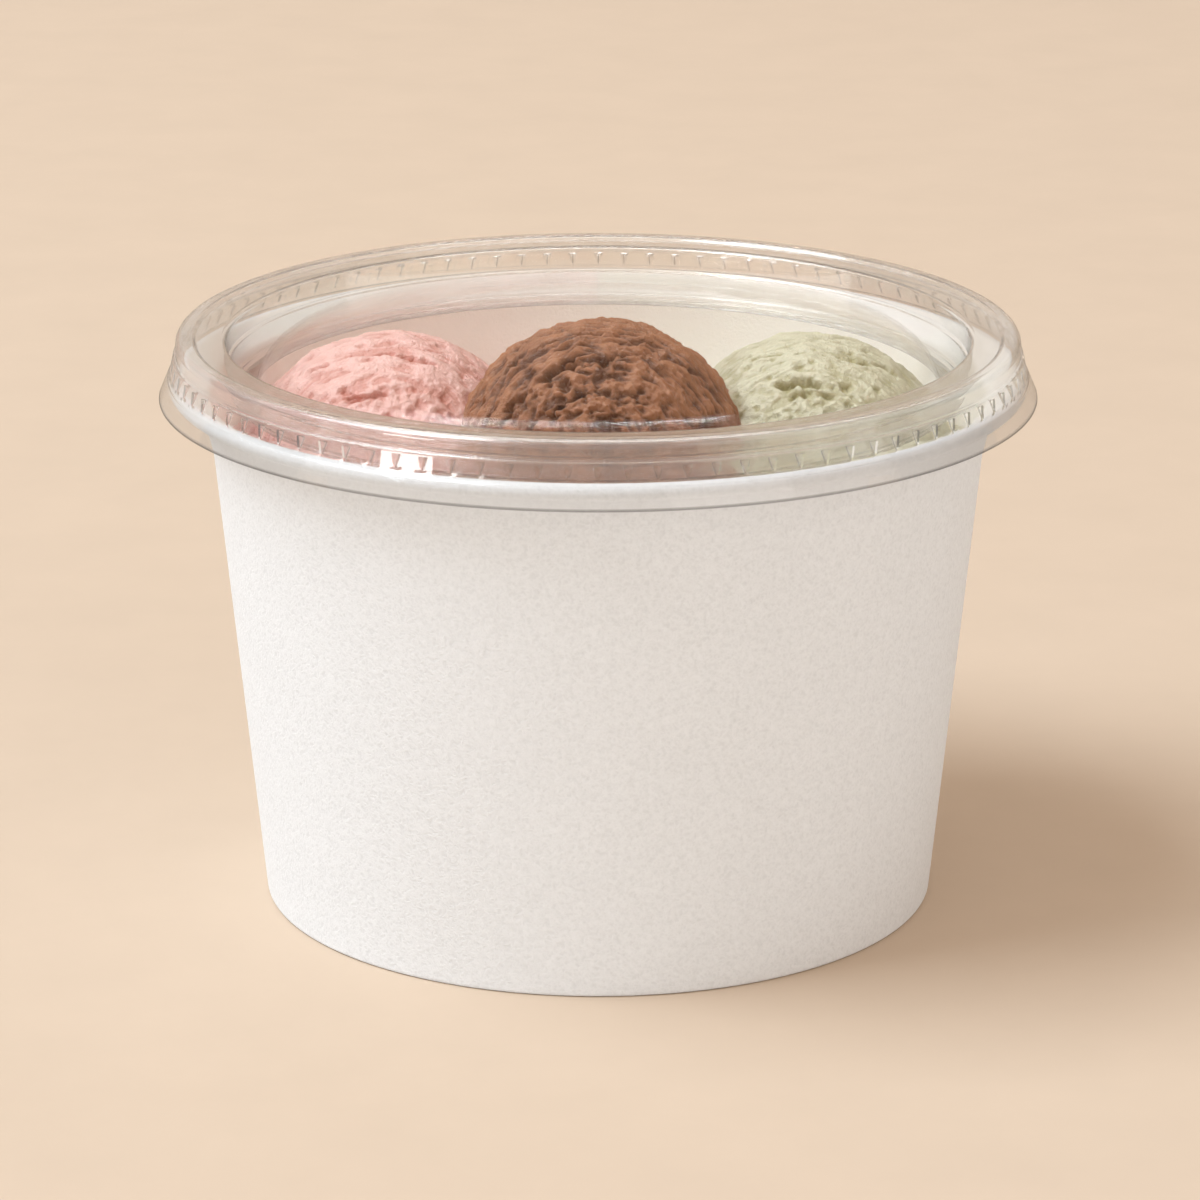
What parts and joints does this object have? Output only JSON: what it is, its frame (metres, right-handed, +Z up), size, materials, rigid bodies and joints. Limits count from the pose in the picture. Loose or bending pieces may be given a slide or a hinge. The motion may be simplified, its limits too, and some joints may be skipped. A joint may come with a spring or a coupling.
{
  "type": "ice cream cup",
  "caption": "Round white paper tub of ice cream with pink, brown and green scoops under a clear plastic lid",
  "frame": {"origin": "middle of the folded ring that the tub stands on, at table level", "axes": "+Z up along the tub's axis, -Y to the front, +X to the right with green on the right, seam at the back (+Y)"},
  "size_m": [0.121, 0.121, 0.0833],
  "materials": {
    "white_board": "matte",
    "clear_sheet": "gloss",
    "brown_ice": "satin",
    "pink_ice": "satin",
    "green_ice": "satin"
  },
  "bodies": {
    "root": {"tub_side": "white_board", "tub_bottom": "white_board", "clear_lid": "clear_sheet", "brown_ice_cream": "brown_ice", "pink_ice_cream": "pink_ice", "green_ice_cream": "green_ice"}
  },
  "joints": []
}
